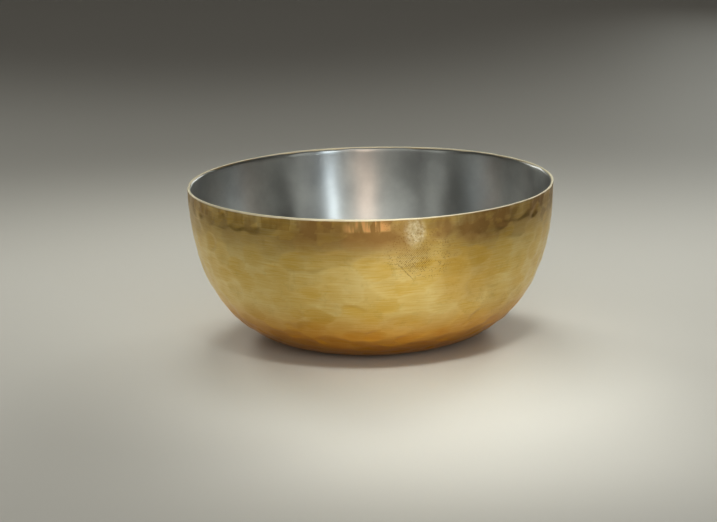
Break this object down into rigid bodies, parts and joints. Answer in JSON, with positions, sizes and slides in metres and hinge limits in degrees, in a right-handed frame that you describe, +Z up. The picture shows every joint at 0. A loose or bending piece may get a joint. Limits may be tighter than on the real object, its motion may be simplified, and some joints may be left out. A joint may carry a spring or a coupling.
{
  "type": "bowl",
  "caption": "Round hammered brass bowl with a flat foot, a narrow polished lip, an open top and a tinned silvery inside, free standing.",
  "frame": {"origin": "middle of the flat foot, on the surface that the bowl stands on", "axes": "+Z up out of the mouth, along the axis of the raised form; X and Y are alike"},
  "size_m": [0.13, 0.13, 0.056],
  "materials": {
    "hammered_brass": "hammered and brushed, lightly tarnished under the lip",
    "tin": "wiped and polished tin"
  },
  "bodies": {
    "root": {"brass_shell": "hammered_brass", "tin_lining": "tin"}
  },
  "joints": []
}
